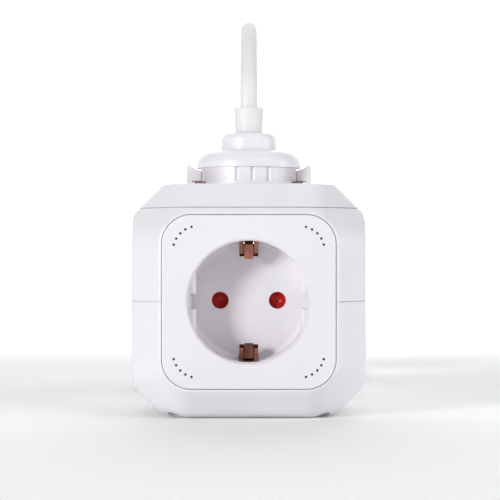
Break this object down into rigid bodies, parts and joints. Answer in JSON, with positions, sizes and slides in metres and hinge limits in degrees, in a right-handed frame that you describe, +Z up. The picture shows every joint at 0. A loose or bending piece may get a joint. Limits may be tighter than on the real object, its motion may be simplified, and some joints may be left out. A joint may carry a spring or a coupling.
{
  "type": "extension socket block",
  "caption": "Cube-shaped mains extension block with a recessed earthed socket on each side, a latched cord head on top, and a cord and plug.",
  "frame": {"origin": "middle of the cube's underside", "axes": "+Z up through the cord head, front socket faces -Y, right socket faces +X"},
  "size_m": [0.0959, 0.2615, 0.1383],
  "materials": {
    "shell_plastic": "fine satin moulded white",
    "socket_plastic": "fine satin moulded white",
    "head_plastic": "satin white",
    "shutter_plastic": "satin red",
    "carrier_plastic": "matt dark",
    "earth_copper": "dull copper alloy",
    "contact_brass": "dull brass",
    "spring_steel": "bright",
    "screw_steel": "zinc plated",
    "cord_rubber": "satin white PVC",
    "wire_plastic": "insulated wire",
    "tie_plastic": "soft black",
    "plug_rubber": "satin white PVC",
    "pin_metal": "nickel plated"
  },
  "bodies": {
    "housing": {"lower_shell": "shell_plastic", "upper_shell": "shell_plastic", "top_cap": "shell_plastic", "tie_screws": "screw_steel", "carrier_screws": "screw_steel", "live_busbar": "contact_brass", "neutral_busbar": "contact_brass", "earth_busbar": "contact_brass", "head_collar": "head_plastic", "head_cover": "head_plastic", "bend_relief": "cord_rubber", "cord_clamp": "carrier_plastic", "clamp_screws": "screw_steel", "live_blade": "contact_brass", "neutral_blade": "contact_brass", "earth_blade": "contact_brass", "inner_wires": "wire_plastic", "latch_pin_left": "screw_steel", "latch_pin_right": "screw_steel", "latch_spring_left": "spring_steel", "latch_spring_right": "spring_steel", "cord": "cord_rubber", "cord_coil": "cord_rubber", "cord_tail": "cord_rubber", "cord_tie": "tie_plastic", "plug_relief": "plug_rubber", "plug_body": "plug_rubber", "plug_pins": "pin_metal", "plug_earth_clips": "pin_metal", "socket_front": "socket_plastic", "shutter_spring_front": "spring_steel", "contact_carrier_front": "carrier_plastic", "earth_contact_front": "earth_copper", "live_contact_front": "contact_brass", "neutral_contact_front": "contact_brass", "socket_right": "socket_plastic", "shutter_spring_right": "spring_steel", "contact_carrier_right": "carrier_plastic", "earth_contact_right": "earth_copper", "live_contact_right": "contact_brass", "neutral_contact_right": "contact_brass", "socket_back": "socket_plastic", "shutter_spring_back": "spring_steel", "contact_carrier_back": "carrier_plastic", "earth_contact_back": "earth_copper", "live_contact_back": "contact_brass", "neutral_contact_back": "contact_brass", "socket_left": "socket_plastic", "shutter_spring_left": "spring_steel", "contact_carrier_left": "carrier_plastic", "earth_contact_left": "earth_copper", "live_contact_left": "contact_brass", "neutral_contact_left": "contact_brass"},
    "shutter_front": {"shutter_front": "shutter_plastic"},
    "shutter_right": {"shutter_right": "shutter_plastic"},
    "shutter_back": {"shutter_back": "shutter_plastic"},
    "shutter_left": {"shutter_left": "shutter_plastic"},
    "latch_left": {"latch_left": "shell_plastic"},
    "latch_right": {"latch_right": "shell_plastic"}
  },
  "joints": [
    {"name": "shutter_front_turn", "type": "hinge", "parent": "housing", "child": "shutter_front", "pos_m": [0, -0.01733, 0.0385], "axis": [0, -1, 0], "range_deg": [0, 38], "stiffness_Nm_per_rad": 0.004, "deforming": ["shutter_spring_front"]},
    {"name": "shutter_right_turn", "type": "hinge", "parent": "housing", "child": "shutter_right", "pos_m": [0.01733, 0, 0.0385], "axis": [1, 0, 0], "range_deg": [0, 38], "stiffness_Nm_per_rad": 0.004, "deforming": ["shutter_spring_right"]},
    {"name": "shutter_back_turn", "type": "hinge", "parent": "housing", "child": "shutter_back", "pos_m": [0, 0.01733, 0.0385], "axis": [0, 1, 0], "range_deg": [0, 38], "stiffness_Nm_per_rad": 0.004, "deforming": ["shutter_spring_back"]},
    {"name": "shutter_left_turn", "type": "hinge", "parent": "housing", "child": "shutter_left", "pos_m": [-0.01733, 0, 0.0385], "axis": [-1, 0, 0], "range_deg": [0, 38], "stiffness_Nm_per_rad": 0.004, "deforming": ["shutter_spring_left"]},
    {"name": "latch_left_hinge", "type": "hinge", "parent": "housing", "child": "latch_left", "pos_m": [-0.0202, 0, 0.072], "axis": [0, -1, 0], "range_deg": [0, 10], "stiffness_Nm_per_rad": 0.2, "deforming": ["latch_spring_left"]},
    {"name": "latch_right_hinge", "type": "hinge", "parent": "housing", "child": "latch_right", "pos_m": [0.0202, 0, 0.072], "axis": [0, 1, 0], "range_deg": [0, 10], "stiffness_Nm_per_rad": 0.2, "deforming": ["latch_spring_right"]}
  ]
}
